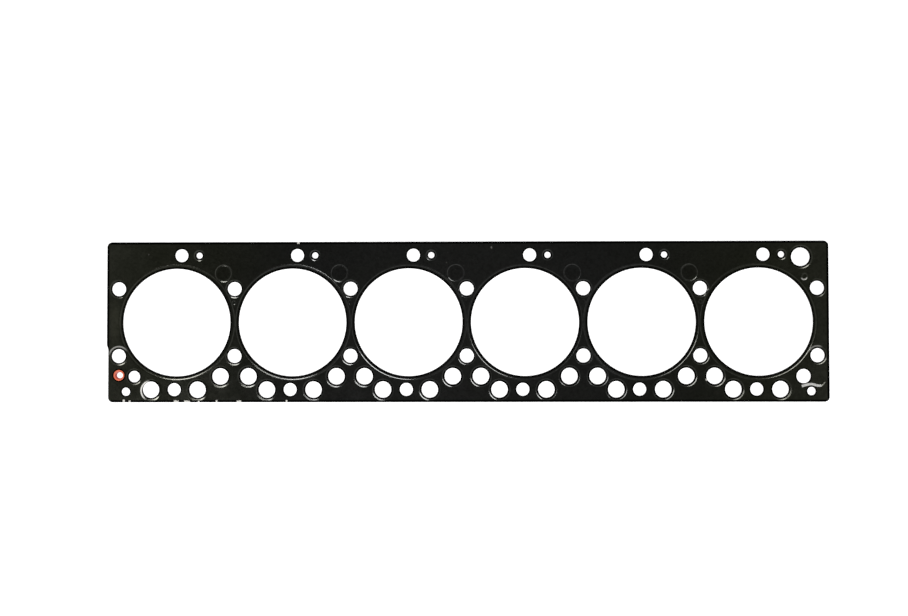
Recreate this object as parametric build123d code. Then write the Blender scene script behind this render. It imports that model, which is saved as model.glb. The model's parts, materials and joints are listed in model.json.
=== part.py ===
from build123d import *
import os
from math import sqrt

# Cylinder head gasket of an in-line six: a coated steel sheet pack with an
# elastomer ring moulded round one small oil passage.
# Millimetres. The origin is the middle of the row of cylinder bores, on the
# underside that lies on the block. +X runs along the row, +Y goes to the side
# with the single bolts and small oil holes, +Z goes up to the cylinder head.

# Cylinders
cylinders = 6
pitch = 120.0
bore_radius = 55.6

# Sheet pack
thickness = 1.3
left_end = -372.4
right_end = 372.0
upper_edge = 83.2
lower_edge = -82.3
corner_radius = 5.0
left_step = 1.5          # the left end's lower part is set in by this much
left_step_top = -23.0
left_step_foot = -28.0

# Pressed bead round each bore, a V section
bead_lip = 2.4           # flat lip between the bore and the bead
bead_width = 2.6         # neighbouring beads run into each other between the bores
bead_depth = 0.25

# Bolts: each bore has six, evenly spaced on a circle that its neighbours share
bolt_circle = pitch / sqrt(3)
joint_bolt_y = bolt_circle / 2
joint_bolt_radius = 7.25
single_bolt_radius = 6.75
upper_bolt_shift = 5.0   # the bolts above and below a bore stand off its centre line
lower_bolt_shift = -2.4

# Ports, from the centre of their own bore
outer_port = (45.5, -55.7)
inner_port_left = (-26.4, -69.4)
inner_port_right = (21.8, -69.4)
port_radius = 8.5
oil_hole = (23.4, 69.2)
oil_hole_radius = 3.25

# Holes of the two ends, from the origin
left_port = (-343.8, -55.8)
left_port_radius = 6.0
right_port = (345.6, -56.0)
right_port_radius = 7.35
oil_drain = (343.2, 66.6)
oil_drain_radius = 9.55
left_dowel = (-352.5, -71.4)
right_dowel = (353.5, -71.4)
dowel_radius = 4.35

# Elastomer ring
ring_place = (-359.8, -54.4)
ring_radius = 5.6        # moulded on to the edge of its hole in the sheet
ring_proud = 0.3         # how far each lip stands off the sheet
ring_hole_radius = 3.0
ring_hole_shift = 0.9    # the passage sits off the ring's middle, towards the bore


def bore_places():
    first = -pitch * (cylinders - 1) / 2
    return [(first + i * pitch, 0.0) for i in range(cylinders)]


def joint_bolt_places():
    first = -pitch * cylinders / 2
    columns = [first + i * pitch for i in range(cylinders + 1)]
    return [(x, y) for x in columns for y in (joint_bolt_y, -joint_bolt_y)]


def beside_bores(offset, bores):
    return [(x + offset[0], y + offset[1]) for x, y in bores]


def single_bolt_places():
    upper = beside_bores((upper_bolt_shift, bolt_circle), bore_places())
    lower = beside_bores((lower_bolt_shift, -bolt_circle), bore_places())
    return upper + lower


def port_places():
    bores = bore_places()
    dx, dy = outer_port
    # the outermost ports give way to the smaller holes of the ends
    outer = beside_bores((dx, dy), bores[:-1]) + beside_bores((-dx, dy), bores[1:])
    inner = beside_bores(inner_port_left, bores) + beside_bores(inner_port_right, bores)
    return outer + inner


def hole_groups():
    return [
        (bore_radius, bore_places()),
        (joint_bolt_radius, joint_bolt_places()),
        (single_bolt_radius, single_bolt_places()),
        (port_radius, port_places()),
        (oil_hole_radius, beside_bores(oil_hole, bore_places())),
        (left_port_radius, [left_port]),
        (right_port_radius, [right_port]),
        (oil_drain_radius, [oil_drain]),
        (dowel_radius, [left_dowel, right_dowel]),
        (ring_radius, [ring_place]),
    ]


def sheet_outline():
    set_in = left_end + left_step
    corners = [
        (left_end, upper_edge),
        (right_end, upper_edge),
        (right_end, lower_edge),
        (set_in, lower_edge),
    ]
    with BuildSketch() as outline:
        with BuildLine():
            Polyline(*corners, (set_in, left_step_foot), (left_end, left_step_top), close=True)
        make_face()
        rounded = [v for v in outline.vertices() if abs(v.Y) > upper_edge / 2]
        fillet(rounded, corner_radius)
    return outline.sketch


def sheet_profile():
    with BuildSketch() as profile:
        add(sheet_outline())
        for radius, places in hole_groups():
            with Locations(*places):
                Circle(radius, mode=Mode.SUBTRACT)
    return profile.sketch


def bead_cutter():
    inner = bore_radius + bead_lip
    outer = inner + bead_width
    bottom = (inner + outer) / 2
    above = thickness + 1.0
    with BuildPart() as cutter:
        with BuildSketch(Plane.XZ):
            with BuildLine():
                Polyline(
                    (inner, thickness),
                    (bottom, thickness - bead_depth),
                    (outer, thickness),
                    (outer, above),
                    (inner, above),
                    close=True,
                )
            make_face()
        revolve(axis=Axis.Z)
    return cutter.part


def gasket_sheet():
    with BuildPart() as sheet:
        add(sheet_profile())
        extrude(amount=thickness)
        with Locations(*bore_places()):
            add(bead_cutter(), mode=Mode.SUBTRACT)
    return sheet.part


def oil_ring():
    foot = Plane.XY.offset(-ring_proud)
    with BuildPart() as ring:
        with BuildSketch(foot):
            Circle(ring_radius)
            with Locations((ring_hole_shift, 0)):
                Circle(ring_hole_radius, mode=Mode.SUBTRACT)
        extrude(amount=thickness + 2 * ring_proud)
    return ring.part.moved(Location((*ring_place, 0)))


os.makedirs("parts", exist_ok=True)
export_step(gasket_sheet(), "parts/gasket_sheet.step")
export_step(oil_ring(), "parts/oil_ring.step")
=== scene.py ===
import json
import math

import bpy
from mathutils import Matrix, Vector


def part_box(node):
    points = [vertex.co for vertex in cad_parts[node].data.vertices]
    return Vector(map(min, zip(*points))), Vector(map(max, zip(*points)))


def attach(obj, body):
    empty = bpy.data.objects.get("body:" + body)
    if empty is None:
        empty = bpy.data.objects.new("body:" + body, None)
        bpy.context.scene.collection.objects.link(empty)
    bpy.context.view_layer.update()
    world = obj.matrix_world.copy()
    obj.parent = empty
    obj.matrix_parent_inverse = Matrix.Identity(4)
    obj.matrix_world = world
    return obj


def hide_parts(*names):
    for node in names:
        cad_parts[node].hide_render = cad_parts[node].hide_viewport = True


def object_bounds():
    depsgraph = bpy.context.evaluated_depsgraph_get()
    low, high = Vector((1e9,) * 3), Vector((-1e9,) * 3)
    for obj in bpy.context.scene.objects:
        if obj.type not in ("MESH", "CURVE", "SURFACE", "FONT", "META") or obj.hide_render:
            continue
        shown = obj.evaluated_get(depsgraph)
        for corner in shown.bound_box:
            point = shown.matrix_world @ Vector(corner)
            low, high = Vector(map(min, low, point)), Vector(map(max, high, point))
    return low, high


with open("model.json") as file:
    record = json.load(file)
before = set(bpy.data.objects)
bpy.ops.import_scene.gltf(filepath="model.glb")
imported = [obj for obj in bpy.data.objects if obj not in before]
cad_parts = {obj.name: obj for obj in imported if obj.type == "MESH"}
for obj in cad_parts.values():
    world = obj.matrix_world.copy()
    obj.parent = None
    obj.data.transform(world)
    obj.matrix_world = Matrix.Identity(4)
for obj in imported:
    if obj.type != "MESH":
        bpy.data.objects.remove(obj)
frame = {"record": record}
cadLow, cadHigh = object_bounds()
mm = 0.001
mounts = {m["name"]: m for m in frame["record"]["mounts"]}


# ---- small helpers for node trees

def put(tree, kind, inputs=(), **settings):
    node = tree.nodes.new(kind)
    for key, value in settings.items():
        setattr(node, key, value)
    pairs = inputs.items() if isinstance(inputs, dict) else enumerate(inputs)
    for key, value in pairs:
        if isinstance(value, bpy.types.NodeSocket):
            tree.links.new(value, node.inputs[key])
        elif value is not None:
            node.inputs[key].default_value = value
    return node


def calc(tree, operation, *values):
    return put(tree, "ShaderNodeMath", values, operation=operation).outputs[0]


def ramp(tree, value, low, high, toLow=0.0, toHigh=1.0, curve="SMOOTHSTEP"):
    inputs = {"Value": value, "From Min": low, "From Max": high, "To Min": toLow, "To Max": toHigh}
    return put(tree, "ShaderNodeMapRange", inputs, interpolation_type=curve).outputs[0]


def xyz(tree, value):
    return put(tree, "ShaderNodeSeparateXYZ", [value]).outputs


def blend(tree, amount, low, high, kind="RGBA"):
    node = tree.nodes.new("ShaderNodeMix")
    node.data_type = kind
    sockets = [s for s in node.inputs if s.enabled]
    for socket, value in zip(sockets, (amount, low, high)):
        if isinstance(value, bpy.types.NodeSocket):
            tree.links.new(value, socket)
        else:
            socket.default_value = value
    return next(s for s in node.outputs if s.enabled)


def stored(tree, name, kind="BOOLEAN"):
    return put(tree, "GeometryNodeInputNamedAttribute", {"Name": name}, data_type=kind).outputs["Attribute"]


def newTree(name, inputs, outputs=("Geometry",)):
    tree = bpy.data.node_groups.new(name, "GeometryNodeTree")
    for label, kind, value in inputs:
        socket = tree.interface.new_socket(label, in_out="INPUT", socket_type="NodeSocket" + kind)
        if value is not None:
            socket.default_value = value
    for label in outputs:
        tree.interface.new_socket(label, in_out="OUTPUT", socket_type="NodeSocketGeometry")
    return tree, tree.nodes.new("NodeGroupInput").outputs, tree.nodes.new("NodeGroupOutput").inputs


def grow(name, mesh, tree, node=None, sharp=35):
    thing = bpy.data.objects.new(name, mesh)
    bpy.context.scene.collection.objects.link(thing)
    press = thing.modifiers.new("press", "NODES")
    press.node_group = tree
    graph = bpy.context.evaluated_depsgraph_get()
    plain = bpy.data.meshes.new_from_object(thing.evaluated_get(graph), depsgraph=graph)
    plain.name = name
    thing.modifiers.clear()
    thing.data = plain
    plain.shade_smooth()
    plain.set_sharp_from_angle(angle=math.radians(sharp))
    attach(thing, "root")
    if node:
        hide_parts(node)
    print(name, "made:", len(plain.polygons), "faces")
    return thing


# ---- the sheet: a pressed collar round each hole, button and dimple, and a flat field between them

sheetLow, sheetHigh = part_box("gasket_sheet")
ringLow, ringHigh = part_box("oil_ring")
firstBore = mounts["cylinder_bore_1"]["pos_m"][0]
pitch = mounts["cylinder_bore_2"]["pos_m"][0] - firstBore
jointRow = mounts["joint_bolts_ends"]["dims"]["spacing_y_mm"] * mm / 2
upperRow = Vector(mounts["upper_bolts_outer"]["pos_m"])
lowerRow = Vector(mounts["lower_bolts_outer"]["pos_m"])

sheet = dict(
    # painted shade along the outline: where its band is full and where it has faded
    edgeRound=0.07 * mm, outlinePaintedShade=(1.7 * mm, 2.7 * mm),
    portHole=8.5 * mm, portRise=0.23 * mm, portSlope=(10.1 * mm, 11.5 * mm),
    jointRise=0.20 * mm, endJointRise=0.135 * mm, jointSlope=(8.5 * mm, 9.8 * mm),
    endPortSlope=(7.5 * mm, 8.5 * mm), drainSlope=(11.1 * mm, 12.6 * mm),
    oilRise=0.25 * mm, oilSlope=(4.6 * mm, 6.05 * mm),
    bead=(2.8 * mm, 5.0 * mm), beadMiddle=0.44, beadDepth=0.162 * mm, endBeadDepth=0.116 * mm,
    # painted shade by holes: the share of a bore's lip it covers, where it is full and gone, and its weaker strength
    # in blind forms
    borePaintedShare=0.7, paintedShadeShares=(0.72, 1.12), boreAround=216, cornerSteps=5,
    button=(7.3 * mm, 9.3 * mm), buttonRise=0.15 * mm, dimple=(1.0 * mm, 2.7 * mm), dimpleRise=0.08 * mm,
    endDimple=(1.8 * mm, 4.0 * mm), blindShade=0.12,
    corner=5.0 * mm, outlineSteps=10, stepIn=1.5 * mm, stepTop=-23 * mm, stepFoot=-28 * mm,
)
boreRim = pitch / 2 / math.cos(2 * math.pi * sheet["cornerSteps"] / sheet["boreAround"])
collarInputs = ["Hole Radius", "Rim Radius", "Form Start", "Form End", "Middle", "Rise", "Bead Height",
                "Meeting Height", "Painted Shade", "Turn A", "Limit A", "Turn B", "Limit B", "Bend"]


def holeRadius(name):
    dims = mounts[name]["dims"]
    return (dims.get("hole_r_mm") or dims["r_mm"]) * mm


def makeCollarTree():
    inputs = [(name, "Float", 0.0) for name in collarInputs]
    tree, given, result = newTree("pressedCollar", inputs + [
        ("Edge Round", "Float", sheet["edgeRound"]), ("Thickness", "Float", sheetHigh.z),
        ("Around", "Int", 48), ("Rings", "Int", 12)])
    hole, rim = given["Hole Radius"], given["Rim Radius"]
    rows = calc(tree, "ADD", given["Rings"], 3.0)
    columns = calc(tree, "ADD", given["Around"], 1.0)
    grid = put(tree, "GeometryNodeMeshGrid",
               {"Size X": 1.0, "Size Y": 1.0, "Vertices X": columns, "Vertices Y": rows})
    place = xyz(tree, put(tree, "GeometryNodeInputPosition").outputs[0])
    turn = calc(tree, "MULTIPLY_ADD", place["X"], 2 * math.pi, math.pi)
    share = calc(tree, "ADD", place["Y"], 0.5)
    row = calc(tree, "ROUND", calc(tree, "MULTIPLY", share, calc(tree, "ADD", given["Rings"], 2.0)))
    above = calc(tree, "GREATER_THAN", row, 2.5)
    side = calc(tree, "MULTIPLY_ADD", above, 2.0, -1.0)
    # ring number from the hole's edge outwards, 0 to Rings - 1, and on the flat underside 0, 1 and the last
    last = calc(tree, "SUBTRACT", given["Rings"], 1.0)
    ring = calc(tree, "ABSOLUTE", calc(tree, "SUBTRACT", row, calc(tree, "ADD", above, 2.0)))
    atRim = calc(tree, "LESS_THAN", row, 0.5)
    ring = calc(tree, "MULTIPLY_ADD", atRim, calc(tree, "SUBTRACT", last, 2.0), ring)
    # a straight limit towards a neighbour cuts the collar off, or with Bend draws its whole form inwards
    reach = []
    for letter in "AB":
        toward = calc(tree, "COSINE", calc(tree, "SUBTRACT", turn, given["Turn " + letter]))
        reach.append(calc(tree, "DIVIDE", given["Limit " + letter], calc(tree, "MAXIMUM", toward, 1e-4)))
    limit = calc(tree, "MINIMUM", *reach)
    excess = calc(tree, "MULTIPLY", calc(tree, "MAXIMUM", calc(tree, "SUBTRACT", rim, limit), 0.0), given["Bend"])
    start, end, rim = [calc(tree, "SUBTRACT", r, excess) for r in (given["Form Start"], given["Form End"], rim)]
    rounded = calc(tree, "ADD", hole, given["Edge Round"])
    before = calc(tree, "SUBTRACT", last, 1.0)
    radius = hole
    for low, high, fromRadius, toRadius in ((0.0, 1.0, hole, rounded), (1.0, 4.0, rounded, start),
                                            (4.0, before, start, end), (before, last, end, rim)):
        part = ramp(tree, ring, low, high, curve="LINEAR")
        radius = calc(tree, "MULTIPLY_ADD", part, calc(tree, "SUBTRACT", toRadius, fromRadius), radius)
    radius = calc(tree, "MINIMUM", radius, limit)
    step = calc(tree, "MULTIPLY", given["Rise"], ramp(tree, radius, start, end, 1.0, 0.0))
    middle = blend(tree, given["Middle"], start, end, "FLOAT")
    bump = calc(tree, "MULTIPLY", ramp(tree, radius, start, middle), ramp(tree, radius, middle, end, 1.0, 0.0))
    # where two collars meet they have the same bead
    apart = ramp(tree, limit, given["Rim Radius"], calc(tree, "MULTIPLY", given["Rim Radius"], 1.1))
    bead = blend(tree, apart, given["Meeting Height"], given["Bead Height"], "FLOAT")
    form = calc(tree, "MULTIPLY_ADD", bump, bead, step)
    form = calc(tree, "MULTIPLY", form, above)
    pierced = calc(tree, "GREATER_THAN", hole, 1e-6)
    atEdge = calc(tree, "LESS_THAN", ring, 0.25)
    edge = calc(tree, "MULTIPLY", calc(tree, "MULTIPLY", given["Edge Round"], pierced), atEdge)
    half = calc(tree, "MULTIPLY", given["Thickness"], 0.5)
    z = calc(tree, "MULTIPLY_ADD", side, calc(tree, "SUBTRACT", calc(tree, "ADD", half, form), edge), half)
    x = calc(tree, "MULTIPLY", radius, calc(tree, "COSINE", turn))
    y = calc(tree, "MULTIPLY", radius, calc(tree, "SINE", turn))
    # painted shade: a dark band by the edge of each hole, and a weaker one in the middle of a blind form
    lip = calc(tree, "MULTIPLY", calc(tree, "SUBTRACT", start, hole), given["Painted Shade"])
    full, gone = [calc(tree, "MULTIPLY_ADD", lip, share, hole) for share in sheet["paintedShadeShares"]]
    strength = blend(tree, pierced, sheet["blindShade"], 1.0, "FLOAT")
    band = calc(tree, "MULTIPLY", strength, ramp(tree, radius, full, gone, 1.0, 0.0))
    kept = put(tree, "GeometryNodeCaptureAttribute", {"Geometry": grid.outputs["Mesh"]})
    for label, value in (("ring", ring), ("band", band)):
        kept.capture_items.new("FLOAT", label)
        tree.links.new(value, kept.inputs[label])
    bent = put(tree, "GeometryNodeSetPosition", {
        "Geometry": kept.outputs["Geometry"], "Position": put(tree, "ShaderNodeCombineXYZ", [x, y, z]).outputs[0]})
    marked = put(tree, "GeometryNodeStoreNamedAttribute", {
        "Geometry": bent.outputs[0], "Name": "paintedEdgeShade", "Value": kept.outputs["band"]}, data_type="FLOAT")
    # a blind collar has no wall in its middle
    blind = calc(tree, "SUBTRACT", 1.0, pierced)
    wall = calc(tree, "LESS_THAN", kept.outputs["ring"], 0.25)
    bare = put(tree, "GeometryNodeDeleteGeometry",
               {"Geometry": marked.outputs[0], "Selection": calc(tree, "MULTIPLY", blind, wall)}, domain="FACE")
    closed = put(tree, "GeometryNodeMergeByDistance", {"Geometry": bare.outputs[0], "Distance": 2e-7})
    outward = put(tree, "GeometryNodeFlipFaces", [closed.outputs[0]])
    tree.links.new(outward.outputs[0], result["Geometry"])
    return tree


def makeRowTree(collarTree):
    inputs = [("Count", "Int", 1), ("First", "Vector", (0, 0, 0)), ("Pitch", "Float", 0.0)]
    inputs += [(name, "Float", 0.0) for name in collarInputs] + [("Around", "Int", 48), ("Rings", "Int", 12)]
    tree, given, result = newTree("pressedRow", inputs)
    step = put(tree, "ShaderNodeCombineXYZ", [given["Pitch"]])
    line = put(tree, "GeometryNodeMeshLine",
               {"Count": given["Count"], "Start Location": given["First"], "Offset": step.outputs[0]}, mode="OFFSET")
    one = put(tree, "GeometryNodeGroup", node_tree=collarTree)
    for name in collarInputs + ["Around", "Rings"]:
        tree.links.new(given[name], one.inputs[name])
    placed = put(tree, "GeometryNodeInstanceOnPoints", {"Points": line.outputs[0], "Instance": one.outputs[0]})
    tree.links.new(placed.outputs[0], result["Geometry"])
    return tree


def holeRows():
    def at(x, y, **more):
        return {"First": (x * mm, y * mm, 0), "Middle": 0.5, "Painted Shade": 1.0, "Limit A": 1.0, "Limit B": 1.0, **more}

    def beside(dx, dy, bores=(0, 6)):
        return at((firstBore + bores[0] * pitch) / mm + dx, dy, Count=bores[1] - bores[0])

    def raised(hole, slope, rise, **more):
        return {"Hole Radius": hole, "Rise": rise, "Form Start": slope[0], "Form End": slope[1],
                "Rim Radius": slope[1] + 0.2 * mm, "Rings": 13, "Bend": 1.0, **more}

    def plain(hole, around=40):
        return {"Hole Radius": hole, "Form Start": hole + 1.4 * mm, "Form End": hole + 1.6 * mm,
                "Rim Radius": hole + 1.7 * mm, "Rings": 7, "Around": around}

    def blind(form, rise, rings, around):
        return {"Form Start": form[0], "Form End": form[1], "Rim Radius": form[1] + 0.1 * mm, "Rings": rings,
                "Rise": rise * 0.5, "Bead Height": rise, "Around": around}

    def limits(*turns, distance):
        names = zip(("A", "B"), turns)
        return {key: value for letter, turn in names
                for key, value in (("Turn " + letter, math.radians(turn)), ("Limit " + letter, distance))}

    # places in millimetres: from the centre of each bore with beside, from the origin with at
    s = sheet
    bore = holeRadius("cylinder_bore_1")
    joint = raised(holeRadius("joint_bolts_ends"), s["jointSlope"], s["jointRise"], Around=60)
    port = raised(s["portHole"], s["portSlope"], s["portRise"], Around=72)
    bolt = plain(holeRadius("upper_bolts_outer"))
    dowel = plain(holeRadius("dowel_left"), 32)
    bores = {"Hole Radius": bore, "Rim Radius": boreRim, "Form Start": bore + s["bead"][0],
             "Form End": bore + s["bead"][1], "Middle": s["beadMiddle"], "Bead Height": -s["beadDepth"],
             "Meeting Height": -s["beadDepth"], "Painted Shade": s["borePaintedShare"], "Around": s["boreAround"], "Rings": 17}
    endBore = {"Bead Height": -s["endBeadDepth"]}
    dowels = [mounts["dowel_" + end]["pos_m"] for end in ("left", "right")]
    rows = {
        "boreFirst": {**beside(0, 0, (0, 1)), **bores, **endBore, **limits(0, distance=pitch / 2)},
        "boreInner": {**beside(0, 0, (1, 5)), **bores, **limits(0, 180, distance=pitch / 2)},
        "boreLast": {**beside(0, 0, (5, 6)), **bores, **endBore, **limits(180, distance=pitch / 2)},
        "upperBolts": {**beside(upperRow.x / mm, upperRow.y / mm), **bolt},
        "lowerBolts": {**beside(lowerRow.x / mm, lowerRow.y / mm), **bolt},
        "oilHoles": {**beside(23.4, 69.2), **raised(3.25 * mm, s["oilSlope"], s["oilRise"], Around=40)},
        "innerPortsLeft": {**beside(-26.4, -69.4), **port},
        "innerPortsRight": {**beside(21.8, -69.4), **port},
        "buttons": {**beside(48.7, 50.75, (0, 5)), **blind(s["button"], s["buttonRise"], 18, 64)},
        "dimples": {**beside(60, 20.8, (0, 5)), **blind(s["dimple"], s["dimpleRise"], 15, 32)},
        "endDimple": at(346.8, 46.2, **blind(s["endDimple"], s["dimpleRise"] * 1.4, 15, 40)),
        "leftPort": at(-343.8, -55.8, **raised(6.0 * mm, s["endPortSlope"], s["jointRise"], Around=40)),
        "rightPort": at(345.6, -56.0, **plain(7.35 * mm)),
        "oilDrain": at(343.2, 66.6, **raised(9.55 * mm, s["drainSlope"], s["portRise"], Around=72)),
        "leftDowel": at(dowels[0][0] / mm, dowels[0][1] / mm, **dowel),
        "rightDowel": at(dowels[1][0] / mm, dowels[1][1] / mm, **dowel),
        "ringSeat": at((ringLow.x + ringHigh.x) / 2 / mm, (ringLow.y + ringHigh.y) / 2 / mm,
                       **plain((ringHigh.x - ringLow.x) / 2)),
    }
    # holes close to a bore have their form drawn in on that side
    for side, x, bores in (("Left", -45.5, (1, 6)), ("Right", 45.5, (0, 5))):
        distance = math.hypot(x, 55.7) * mm - boreRim - 0.05 * mm
        toBore = math.degrees(math.atan2(55.7, -x))
        rows["outerPorts" + side] = {**beside(x, -55.7, bores), **port, **limits(toBore, distance=distance)}
    distance = math.hypot(pitch / 2, jointRow) - boreRim - 0.05 * mm
    for side, sign in (("upper", 1), ("lower", -1)):
        ends = (("First", -60, (0, 1), [-30]), ("Inner", 60, (0, 5), [-30, -150]), ("Last", 60, (5, 6), [-150]))
        for end, dx, bores, turns in ends:
            rows[side + "Joints" + end] = {
                **beside(dx, sign * jointRow / mm, bores), **joint,
                **limits(*[sign * turn for turn in turns], distance=distance)}
            if end != "Inner":
                rows[side + "Joints" + end]["Rise"] = s["endJointRise"]
    return rows


def makeSheetTree(rowTree, coating, cutEdge):
    tree, given, result = newTree("gasketSheet", [
        ("Geometry", "Geometry", None), ("Pitch", "Float", pitch), ("Thickness", "Float", sheetHigh.z)])
    pressed = put(tree, "GeometryNodeJoinGeometry")
    tree.links.new(given["Geometry"], pressed.inputs[0])
    for name, settings in holeRows().items():
        row = put(tree, "GeometryNodeGroup", {**settings, "Pitch": given["Pitch"]}, node_tree=rowTree, label=name)
        tree.links.new(row.outputs[0], pressed.inputs[0])
    pressed = put(tree, "GeometryNodeRealizeInstances", [pressed.outputs[0]]).outputs[0]
    pressed = put(tree, "GeometryNodeMergeByDistance", {"Geometry": pressed, "Distance": 1e-6}).outputs[0]
    # the flat field fills what the collars and the side leave open, above and below
    beside = put(tree, "GeometryNodeInputMeshEdgeNeighbors").outputs[0]
    height = xyz(tree, put(tree, "GeometryNodeInputPosition").outputs[0])["Z"]
    below = calc(tree, "LESS_THAN", height, calc(tree, "MULTIPLY", given["Thickness"], 0.5))
    rim = calc(tree, "MULTIPLY", calc(tree, "COMPARE", beside, 1.0, 0.1), below)
    rims = put(tree, "GeometryNodeMeshToCurve", {"Mesh": pressed, "Selection": rim}).outputs[0]
    under = put(tree, "GeometryNodeFillCurve", {"Curve": rims}, mode="TRIANGLES").outputs[0]
    lift = put(tree, "ShaderNodeCombineXYZ", {"Z": given["Thickness"]}).outputs[0]
    over = put(tree, "GeometryNodeTransform", {"Geometry": under, "Translation": lift}).outputs[0]
    under = put(tree, "GeometryNodeFlipFaces", [under]).outputs[0]
    whole = put(tree, "GeometryNodeJoinGeometry")
    for part in (pressed, under, over):
        tree.links.new(part, whole.inputs[0])
    solid = put(tree, "GeometryNodeMergeByDistance", {"Geometry": whole.outputs[0], "Distance": 1e-6}).outputs[0]
    up = xyz(tree, put(tree, "GeometryNodeInputNormal").outputs[0])["Z"]
    wall = calc(tree, "LESS_THAN", calc(tree, "ABSOLUTE", up), 0.5)
    solid = put(tree, "GeometryNodeRealizeInstances", [solid]).outputs[0]
    solid = put(tree, "GeometryNodeSetMaterial", {"Geometry": solid, "Material": coating}).outputs[0]
    solid = put(tree, "GeometryNodeSetMaterial",
                {"Geometry": solid, "Selection": wall, "Material": cutEdge}).outputs[0]
    tree.links.new(solid, result["Geometry"])
    return tree


def outlineRing(inset, z):
    s = sheet
    left, right, low, high = sheetLow.x, sheetHigh.x, sheetLow.y, sheetHigh.y
    corners = [(right, low, -90), (right, high, 0), (left, high, 90), (left + s["stepIn"], low, 180)]
    points = []
    for x, y, start in corners:
        cx = x - math.copysign(s["corner"], x)
        cy = y - math.copysign(s["corner"], y)
        for i in range(s["outlineSteps"] + 1):
            a = math.radians(start + 90 * i / s["outlineSteps"])
            reach = s["corner"] - inset
            points.append((cx + reach * math.cos(a), cy + reach * math.sin(a), z))
        if start == 90:
            points += [(left + inset, s["stepTop"], z), (left + s["stepIn"] + inset, s["stepFoot"], z)]
    return points


def makeSheet(coating, cutEdge):
    r, top = sheet["edgeRound"], sheetHigh.z
    rings = [outlineRing(r, 0.0), outlineRing(0.0, r), outlineRing(0.0, top - r), outlineRing(r, top)]
    n = len(rings[0])
    faces = [(k * n + i, k * n + (i + 1) % n, (k + 1) * n + (i + 1) % n, (k + 1) * n + i)
             for k in range(3) for i in range(n)]
    mesh = bpy.data.meshes.new("sheetOutline")
    mesh.from_pydata([p for ring in rings for p in ring], [], faces)
    mesh.materials.append(coating)
    tree = makeSheetTree(makeRowTree(makeCollarTree()), coating, cutEdge)
    return grow("pressedSheet", mesh, tree, "gasket_sheet")


# ---- a low pressed ridge that runs over the right dowel hole to the end

ridge = dict(
    path=[(343.6, -66.3), (348.4, -64.9), (353.8, -64.2), (359.0, -65.5), (362.4, -65.8), (365.0, -64.0),
          (366.8, -61.4)],
    halfWidth=1.2 * mm, height=0.21 * mm, highlightTo=363.2 * mm,
)


def makeRidge(coating, highlightPaint):
    s = ridge
    tree, given, result = newTree("pressedRidge", [
        ("Geometry", "Geometry", None), ("Half Width", "Float", s["halfWidth"]), ("Height", "Float", s["height"])])
    line = put(tree, "GeometryNodeMeshToCurve", [given["Geometry"]]).outputs[0]
    line = put(tree, "GeometryNodeCurveSplineType", {"Curve": line}, spline_type="CATMULL_ROM").outputs[0]
    line = put(tree, "GeometryNodeResampleCurve", {"Curve": line, "Count": 60}).outputs[0]
    # the profile is a low roof: a square on its corner, squashed
    ring = put(tree, "GeometryNodeCurvePrimitiveCircle", {"Resolution": 4, "Radius": given["Half Width"]}).outputs[0]
    tube = put(tree, "GeometryNodeCurveToMesh", {"Curve": line, "Profile Curve": ring, "Fill Caps": True}).outputs[0]
    place = xyz(tree, put(tree, "GeometryNodeInputPosition").outputs[0])
    squash = calc(tree, "DIVIDE", given["Height"], given["Half Width"])
    flat = put(tree, "ShaderNodeCombineXYZ", {
        "X": place["X"], "Y": place["Y"], "Z": calc(tree, "MULTIPLY_ADD", place["Z"], squash, sheetHigh.z)})
    bent = put(tree, "GeometryNodeSetPosition", {"Geometry": tube, "Position": flat.outputs[0]}).outputs[0]
    painted = put(tree, "GeometryNodeSetMaterial", {"Geometry": bent, "Material": coating}).outputs[0]
    # painted highlight: the ridge's first part, up to this x, takes a pale grey paint
    first = calc(tree, "LESS_THAN", place["X"], s["highlightTo"])
    painted = put(tree, "GeometryNodeSetMaterial",
                  {"Geometry": painted, "Selection": first, "Material": highlightPaint}).outputs[0]
    tree.links.new(painted, result["Geometry"])
    mesh = bpy.data.meshes.new("ridgePath")
    points = [(x * mm, y * mm, 0.0) for x, y in s["path"]]
    mesh.from_pydata(points, [(i, i + 1) for i in range(len(points) - 1)], [])
    return grow("pressedRidge", mesh, tree, sharp=12)


# ---- chips in the coating along the edges

chips = dict(
    # middle along the edge, width and depth, in millimetres
    lower=[(-354.6, 2.2, 2.6), (-348.6, 2.0, 1.7), (-300.2, 5.0, 1.7), (-289.0, 6.0, 1.7), (-277.0, 1.8, 1.9),
           (-258.4, 1.6, 2.2), (-235.2, 4.6, 1.5), (-186.0, 1.7, 1.9)],
    upper=[(-174.0, 2.4, 1.8)],
    drop=0.35 * mm, ragged=0.5 * mm, inset=0.02 * mm,
)


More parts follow.
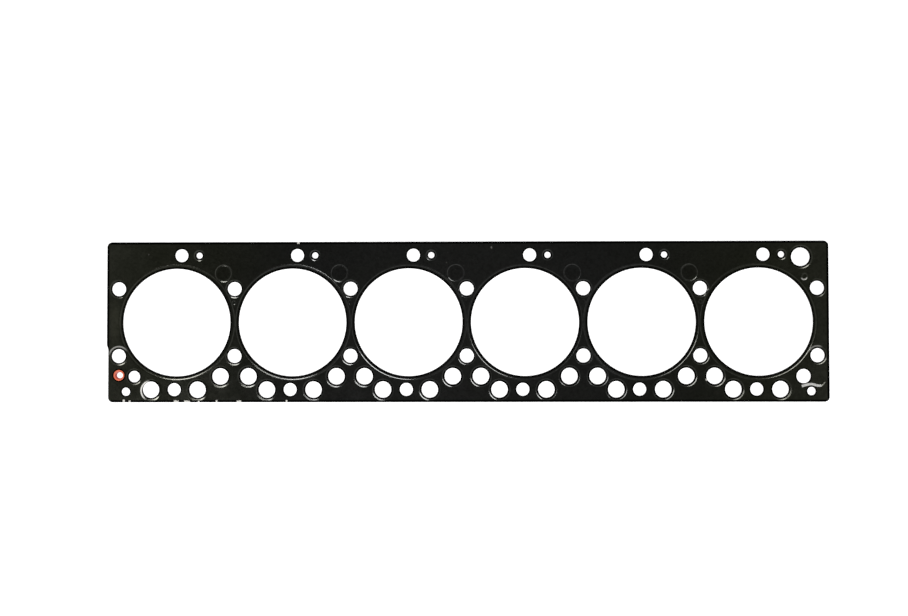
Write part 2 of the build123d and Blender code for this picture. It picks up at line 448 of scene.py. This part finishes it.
def makeChips(worn):
    s = chips
    tree, given, result = newTree("edgeChips", [
        ("Geometry", "Geometry", None), ("Drop", "Float", s["drop"]), ("Ragged", "Float", s["ragged"]),
        ("Seed", "Float", 3.0)])
    size = put(tree, "ShaderNodeCombineXYZ", [1.0, 1.0, given["Drop"]]).outputs[0]
    flake = put(tree, "GeometryNodeMeshCube", {"Size": size, "Vertices X": 14, "Vertices Y": 4, "Vertices Z": 3})
    # only the side that faces into the sheet is ragged
    across = xyz(tree, put(tree, "GeometryNodeInputPosition").outputs[0])["Y"]
    kept = put(tree, "GeometryNodeCaptureAttribute", {"Geometry": flake.outputs["Mesh"]})
    kept.capture_items.new("FLOAT", "inward")
    tree.links.new(calc(tree, "GREATER_THAN", across, 0.0), kept.inputs["inward"])
    reach = put(tree, "ShaderNodeCombineXYZ", [stored(tree, "width", "FLOAT"), stored(tree, "depth", "FLOAT"), 1.0])
    turned = put(tree, "ShaderNodeCombineXYZ", {"Z": stored(tree, "turn", "FLOAT")}).outputs[0]
    placed = put(tree, "GeometryNodeInstanceOnPoints", {
        "Points": given["Geometry"], "Instance": kept.outputs["Geometry"], "Scale": reach.outputs[0],
        "Rotation": turned}).outputs[0]
    solid = put(tree, "GeometryNodeRealizeInstances", [placed]).outputs[0]
    place = put(tree, "GeometryNodeInputPosition").outputs[0]
    rough = put(tree, "ShaderNodeTexNoise", {"Vector": place, "W": given["Seed"], "Scale": 900.0, "Detail": 2.0},
                noise_dimensions="4D").outputs["Fac"]
    shift = calc(tree, "MULTIPLY", ramp(tree, rough, 0.3, 0.7, -0.6, 1.0), given["Ragged"])
    shift = calc(tree, "MULTIPLY", shift, kept.outputs["inward"])
    toward = calc(tree, "MULTIPLY", shift, calc(tree, "SIGN", calc(tree, "MULTIPLY", xyz(tree, place)["Y"], -1.0)))
    moved = put(tree, "GeometryNodeSetPosition", {
        "Geometry": solid, "Offset": put(tree, "ShaderNodeCombineXYZ", {"Y": toward}).outputs[0]}).outputs[0]
    painted = put(tree, "GeometryNodeSetMaterial", {"Geometry": moved, "Material": worn}).outputs[0]
    tree.links.new(painted, result["Geometry"])
    z = sheetHigh.z + 0.004 * mm - s["drop"] / 2
    spots = [(x, sheetLow.y + s["inset"] + d * mm / 2, w, d, 0.0) for x, w, d in s["lower"]]
    spots += [(x, sheetHigh.y - s["inset"] - d * mm / 2, w, d, math.pi) for x, w, d in s["upper"]]
    mesh = bpy.data.meshes.new("chipPlaces")
    mesh.from_pydata([(spot[0] * mm, spot[1], z) for spot in spots], [], [])
    for column, name, unit in ((2, "width", mm), (3, "depth", mm), (4, "turn", 1.0)):
        values = mesh.attributes.new(name, "FLOAT", "POINT").data
        for i, spot in enumerate(spots):
            values[i].value = spot[column] * unit
    return grow("edgeChips", mesh, tree)


# ---- the elastomer ring

ringShape = dict(hole=3.15 * mm, shift=1.0 * mm, around=64)


def makeRing(rubber):
    s = ringShape
    cx, cy = (ringLow.x + ringHigh.x) / 2, (ringLow.y + ringHigh.y) / 2
    outer = (ringHigh.x - ringLow.x) / 2
    crown, top = ringHigh.z, sheetHigh.z
    # share of the way from the hole to the outer wall, and height above the sheet in parts of the lip's height
    lip = [(0.0, -0.6), (0.06, -0.3), (0.16, -0.12), (0.30, 0.0), (0.42, 0.2), (0.52, 0.62), (0.60, 0.9), (0.70, 1.0),
           (0.80, 0.92), (0.90, 0.6), (0.97, 0.2), (1.0, 0.0)]
    upper = [(t, top + h * (crown - top)) for t, h in lip]
    profile = upper + [(t, top - z) for t, z in upper[::-1]]
    count, around = len(profile), s["around"]
    vertices, faces = [], []
    for i in range(around):
        c, n = math.cos(2 * math.pi * i / around), math.sin(2 * math.pi * i / around)
        for t, z in profile:
            x = (1 - t) * (s["shift"] + s["hole"] * c) + t * outer * c
            y = (1 - t) * s["hole"] * n + t * outer * n
            vertices.append((cx + x, cy + y, z))
        for k in range(count):
            j, m = (i + 1) % around, (k + 1) % count
            faces.append((i * count + k, i * count + m, j * count + m, j * count + k))
    mesh = bpy.data.meshes.new("mouldedRing")
    mesh.from_pydata(vertices, [], faces)
    mesh.materials.append(rubber)
    mesh.shade_smooth()
    ring = bpy.data.objects.new("mouldedRing", mesh)
    bpy.context.scene.collection.objects.link(ring)
    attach(ring, "root")
    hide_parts("oil_ring")
    print("mouldedRing made:", len(faces), "faces")
    return ring


# ---- materials

def newMaterial(name):
    material = bpy.data.materials.new(name)
    material.use_nodes = True
    tree = material.node_tree
    shader = tree.nodes["Principled BSDF"]
    place = tree.nodes.new("ShaderNodeTexCoord").outputs["Object"]
    return material, tree, shader, place


def noise(tree, place, scale, detail=3.0, rough=0.5):
    inputs = {"Vector": place, "Scale": scale, "Detail": detail, "Roughness": rough}
    return put(tree, "ShaderNodeTexNoise", inputs).outputs["Fac"]


coatingLook = dict(
    middle=(0.0028, 0.0029, 0.0025, 1), ends=(0.0036, 0.0041, 0.0020, 1), worn=(0.30, 0.29, 0.27, 1),
    wornAndReflectionEnds=(0.30, 0.30, 0.20, 1),
    middleTint=(0.98, 1.0, 0.98, 1), endsTint=(1.0, 1.0, 0.86, 1),
    mottleScale=420.0, mottle=(0.72, 1.28), roughness=(0.11, 0.15), grainScale=700.0, grainHeight=0.000006,
    # worn spots: place, size along and across, strength
    spots=[(25.6, 77.2, 1.3, 1.7, 0.25), (-20.8, 61.6, 1.2, 1.2, 0.06), (-329.2, 70.5, 0.7, 0.7, 0.15),
           (246.0, -59.5, 1.4, 1.6, 1.6)],
    # painted highlights, pale arcs round holes at the ends: place, radius, half width, first and last turn, strength
    paintedHighlightArcs=[(-360.0, -34.64, 9.9, 1.1, 25, 180, 0.30), (360.0, -34.64, 9.7, 1.0, 55, 165, 0.20),
          (-326.3, -70.4, 10.3, 1.1, 95, 245, 0.9), (346.8, 46.2, 3.0, 1.0, 190, 360, 0.35)],
    highlightPaint=(0.60, 0.59, 0.56, 1),
    # painted reflection, a paler patch at the left end: place, size along and across, strength
    glow=(-364.5, -1.0, 8.0, 32.0, 0.022), paintedShadeDepth=0.98,
)


def spotMask(tree, place, x, y, wide, tall, strength):
    dx = calc(tree, "DIVIDE", calc(tree, "SUBTRACT", xyz(tree, place)["X"], x * mm), wide * mm)
    dy = calc(tree, "DIVIDE", calc(tree, "SUBTRACT", xyz(tree, place)["Y"], y * mm), tall * mm)
    away = calc(tree, "SQRT", calc(tree, "ADD", calc(tree, "MULTIPLY", dx, dx), calc(tree, "MULTIPLY", dy, dy)))
    return ramp(tree, away, 0.25, 1.0, strength, 0.0)


def arcMask(tree, place, x, y, radius, half, start, end, strength):
    dx = calc(tree, "SUBTRACT", xyz(tree, place)["X"], x * mm)
    dy = calc(tree, "SUBTRACT", xyz(tree, place)["Y"], y * mm)
    away = calc(tree, "SQRT", calc(tree, "ADD", calc(tree, "MULTIPLY", dx, dx), calc(tree, "MULTIPLY", dy, dy)))
    off = calc(tree, "ABSOLUTE", calc(tree, "SUBTRACT", away, radius * mm))
    middle, span = math.radians(start + end) / 2, math.radians(end - start) / 2
    toward = calc(tree, "MULTIPLY_ADD", dx, math.cos(middle), calc(tree, "MULTIPLY", dy, math.sin(middle)))
    along = ramp(tree, calc(tree, "DIVIDE", toward, away), math.cos(span), math.cos(span * 0.5))
    return calc(tree, "MULTIPLY", along, ramp(tree, off, 0.3 * half * mm, half * mm, strength, 0.0))


def makeCoating():
    s = coatingLook
    material, tree, shader, place = newMaterial("blackCoating")
    x, y = xyz(tree, place)["X"], xyz(tree, place)["Y"]
    toEnds = ramp(tree, calc(tree, "ABSOLUTE", x), 0.12, 0.34)
    drift = calc(tree, "ADD", toEnds, calc(tree, "MULTIPLY_ADD", noise(tree, place, 14.0), 0.8, -0.4))
    drift = ramp(tree, drift, 0.0, 1.0, curve="LINEAR")
    colour = blend(tree, drift, s["middle"], s["ends"])
    glow = blend(tree, drift, s["worn"], s["wornAndReflectionEnds"])
    specks = ramp(tree, noise(tree, place, 800.0, 2.0), 0.68, 0.80, 0.0, 0.06)
    # painted reflection: the paler patch at the left end, together with fine worn specks, takes the worn colour
    colour = blend(tree, calc(tree, "MAXIMUM", spotMask(tree, place, *s["glow"]), specks), colour, glow)
    # painted shade: colour and specular darkened in a band along the edge of every hole and of the outline
    fromSide = calc(tree, "MINIMUM", calc(tree, "SUBTRACT", x, sheetLow.x), calc(tree, "SUBTRACT", sheetHigh.x, x))
    fromTop = calc(tree, "MINIMUM", calc(tree, "SUBTRACT", y, sheetLow.y), calc(tree, "SUBTRACT", sheetHigh.y, y))
    outlineEdgeShade = ramp(tree, calc(tree, "MINIMUM", fromSide, fromTop), *sheet["outlinePaintedShade"], 1.0, 0.0)
    holeEdgeShade = put(tree, "ShaderNodeAttribute", attribute_name="paintedEdgeShade").outputs["Fac"]
    band = calc(tree, "MAXIMUM", outlineEdgeShade, holeEdgeShade)
    shadeAndMottle = calc(tree, "MULTIPLY_ADD", band, -s["paintedShadeDepth"], 1.0)
    # a fine unevenness of the sprayed coating
    mottle = ramp(tree, noise(tree, place, s["mottleScale"], 4.0, 0.7), 0.3, 0.7, *s["mottle"])
    # the painted shade is multiplied with the coating's real mottle
    shadeAndMottle = calc(tree, "MULTIPLY", shadeAndMottle, mottle)
    colour = blend(tree, shadeAndMottle, (0, 0, 0, 1), colour)
    # worn spots are ragged
    scatter = put(tree, "ShaderNodeTexNoise", {"Vector": place, "Scale": 900.0}).outputs["Color"]
    scatter = put(tree, "ShaderNodeVectorMath", [scatter, (0.5, 0.5, 0.5)], operation="SUBTRACT").outputs[0]
    ragged = put(tree, "ShaderNodeVectorMath", [scatter, (0.0016, 0.0016, 0.0016), place], operation="MULTIPLY_ADD")
    bare = 0.0
    for spot in s["spots"]:
        bare = calc(tree, "MAXIMUM", bare, spotMask(tree, ragged.outputs[0], *spot))
    bare = calc(tree, "MINIMUM", bare, 1.0)
    colour = blend(tree, bare, colour, s["worn"])
    # painted highlights: pale arcs on the slopes round holes at the ends
    paintedHighlights = 0.0
    for arc in s["paintedHighlightArcs"]:
        paintedHighlights = calc(tree, "MAXIMUM", paintedHighlights, arcMask(tree, place, *arc))
    colour = blend(tree, paintedHighlights, colour, s["highlightPaint"])
    tree.links.new(colour, shader.inputs["Base Color"])
    tree.links.new(blend(tree, drift, s["middleTint"], s["endsTint"]), shader.inputs["Specular Tint"])
    tree.links.new(calc(tree, "MULTIPLY", shadeAndMottle, 0.5), shader.inputs["Specular IOR Level"])
    patches = noise(tree, place, 45.0, 4.0, 0.6)
    roughness = ramp(tree, patches, 0.3, 0.7, *s["roughness"])
    tree.links.new(roughness, shader.inputs["Roughness"])
    grain = noise(tree, place, s["grainScale"], 3.0, 0.6)
    bump = put(tree, "ShaderNodeBump", {"Height": grain, "Distance": s["grainHeight"], "Strength": 0.6})
    tree.links.new(bump.outputs[0], shader.inputs["Normal"])
    return material


def makeCutEdge():
    material, tree, shader, place = newMaterial("cutSteelEdge")
    streaks = noise(tree, place, 600.0, 2.0)
    colour = blend(tree, ramp(tree, streaks, 0.35, 0.65), (0.030, 0.028, 0.026, 1), (0.16, 0.14, 0.115, 1))
    tree.links.new(colour, shader.inputs["Base Color"])
    shader.inputs["Metallic"].default_value = 0.6
    tree.links.new(ramp(tree, streaks, 0.3, 0.7, 0.35, 0.6), shader.inputs["Roughness"])
    return material


# a mottled paint, used for the chipped coating and as a painted highlight on the ridge
def makeWearAndHighlightPaint(name, dark, light):
    material, tree, shader, place = newMaterial(name)
    mottle = noise(tree, place, 1500.0, 2.0)
    colour = blend(tree, ramp(tree, mottle, 0.3, 0.7), dark, light)
    tree.links.new(colour, shader.inputs["Base Color"])
    tree.links.new(ramp(tree, mottle, 0.3, 0.7, 0.5, 0.7), shader.inputs["Roughness"])
    return material


# the darker red inside is painted shade on the ring's inner slope
rubberLook = dict(lip=(0.48, 0.085, 0.030, 1), inner=(0.24, 0.014, 0.006, 1), reach=(3.8 * mm, 4.5 * mm))


def makeRubber():
    s = rubberLook
    material, tree, shader, place = newMaterial("redRubber")
    mottle = noise(tree, place, 900.0, 3.0)
    cx, cy = (ringLow.x + ringHigh.x) / 2, (ringLow.y + ringHigh.y) / 2
    centre = put(tree, "ShaderNodeVectorMath", [place, (cx, cy, 0)], operation="SUBTRACT").outputs[0]
    dx, dy = xyz(tree, centre)["X"], xyz(tree, centre)["Y"]
    away = calc(tree, "SQRT", calc(tree, "ADD", calc(tree, "MULTIPLY", dx, dx), calc(tree, "MULTIPLY", dy, dy)))
    away = calc(tree, "MULTIPLY_ADD", mottle, 0.3 * mm, away)
    # painted shade: darker red towards the hole, lighter red on the lip
    colour = blend(tree, ramp(tree, away, *s["reach"]), s["inner"], s["lip"])
    tree.links.new(colour, shader.inputs["Base Color"])
    tree.links.new(ramp(tree, mottle, 0.3, 0.7, 0.36, 0.5), shader.inputs["Roughness"])
    bump = put(tree, "ShaderNodeBump", {"Height": mottle, "Distance": 0.00003, "Strength": 0.4})
    tree.links.new(bump.outputs[0], shader.inputs["Normal"])
    return material


# ---- floor, light and camera

studio = dict(
    floorSize=8.0, floorWhite=0.8, cameraGlow=0.45,
    # levels of the surrounding light: low down, on slopes all round and more on one side, and straight overhead
    horizon=1.0, around=0.52, moreLeft=0.35, moreBack=1.10, overhead=0.088, zenith=0.15,
    # heights between which one level gives way to the next
    toAround=(0.15, 0.55), toOverhead=(0.925, 0.970), toZenith=(0.988, 0.999),
    lamps=[
        dict(name="leftLamp", place=(-0.420, -0.539, 1.24), wide=0.66, deep=0.24, power=12.0),
        dict(name="rightLamp", place=(0.874, -0.539, 1.24), wide=0.80, deep=0.24, power=9.5),
    ],
    cameraPlace=(0.00364, -0.01604, 1.240), cameraTurn=(1.4145, 0.7780, -0.0913), lens=47.631,
)


def makeFloor():
    s = studio
    half = s["floorSize"] / 2
    z = cadLow.z
    mesh = bpy.data.meshes.new("floor")
    mesh.from_pydata([(-half, -half, z), (half, -half, z), (half, half, z), (-half, half, z)], [], [(0, 1, 2, 3)])
    floor = bpy.data.objects.new("floor", mesh)
    bpy.context.scene.collection.objects.link(floor)
    material, tree, shader = newMaterial("paleFloor")[:3]
    shader.inputs["Base Color"].default_value = (s["floorWhite"],) * 3 + (1,)
    shader.inputs["Roughness"].default_value = 1.0
    shader.inputs["Specular IOR Level"].default_value = 0.0
    path = put(tree, "ShaderNodeLightPath").outputs
    seen = calc(tree, "MAXIMUM", path["Is Camera Ray"],
                calc(tree, "MAXIMUM", path["Is Glossy Ray"], path["Is Transmission Ray"]))
    glow = put(tree, "ShaderNodeEmission", {"Strength": calc(tree, "MULTIPLY", seen, s["cameraGlow"])})
    both = put(tree, "ShaderNodeAddShader", [shader.outputs[0], glow.outputs[0]])
    tree.links.new(both.outputs[0], tree.nodes["Material Output"].inputs["Surface"])
    mesh.materials.append(material)


def makeLight():
    s = studio
    for lamp in s["lamps"]:
        data = bpy.data.lights.new(lamp["name"], "AREA")
        data.shape = "RECTANGLE"
        data.size = lamp["wide"]
        data.size_y = lamp["deep"]
        data.energy = lamp["power"]
        light = bpy.data.objects.new(lamp["name"], data)
        light.location = lamp["place"]
        light.rotation_euler = (-Vector(lamp["place"])).to_track_quat("-Z", "Y").to_euler()
        bpy.context.scene.collection.objects.link(light)
    world = bpy.data.worlds.new("studio")
    world.use_nodes = True
    tree = world.node_tree
    way = put(tree, "ShaderNodeTexCoord").outputs["Generated"]
    right, back, height = [xyz(tree, way)[axis] for axis in "XYZ"]
    side = calc(tree, "MULTIPLY_ADD", right, -s["moreLeft"], calc(tree, "MULTIPLY", back, s["moreBack"]))
    around = calc(tree, "ADD", calc(tree, "MAXIMUM", side, 0.0), s["around"])
    level = ramp(tree, height, *s["toAround"], s["horizon"], around)
    level = blend(tree, ramp(tree, height, *s["toOverhead"]), level, s["overhead"], "FLOAT")
    level = blend(tree, ramp(tree, height, *s["toZenith"]), level, s["zenith"], "FLOAT")
    tree.links.new(level, tree.nodes["Background"].inputs["Strength"])
    tree.nodes["Background"].inputs["Color"].default_value = (1, 1, 1, 1)
    bpy.context.scene.world = world


def makeCamera():
    data = bpy.data.cameras.new("camera")
    data.lens = studio["lens"]
    camera = bpy.data.objects.new("camera", data)
    camera.location = studio["cameraPlace"]
    camera.rotation_euler = [math.radians(a) for a in studio["cameraTurn"]]
    bpy.context.scene.collection.objects.link(camera)
    bpy.context.scene.camera = camera


coating = makeCoating()
makeSheet(coating, makeCutEdge())
# the ridge's pale grey paint is a painted highlight
makeRidge(coating, makeWearAndHighlightPaint("ridgeHighlightPaint", (0.20, 0.20, 0.19, 1), (0.42, 0.42, 0.40, 1)))
makeChips(makeWearAndHighlightPaint("chippedCoating", (0.26, 0.25, 0.23, 1), (0.60, 0.59, 0.55, 1)))
makeRing(makeRubber())
makeFloor()
makeLight()
makeCamera()
bpy.context.scene.view_settings.view_transform = "Standard"

print("scene ready")
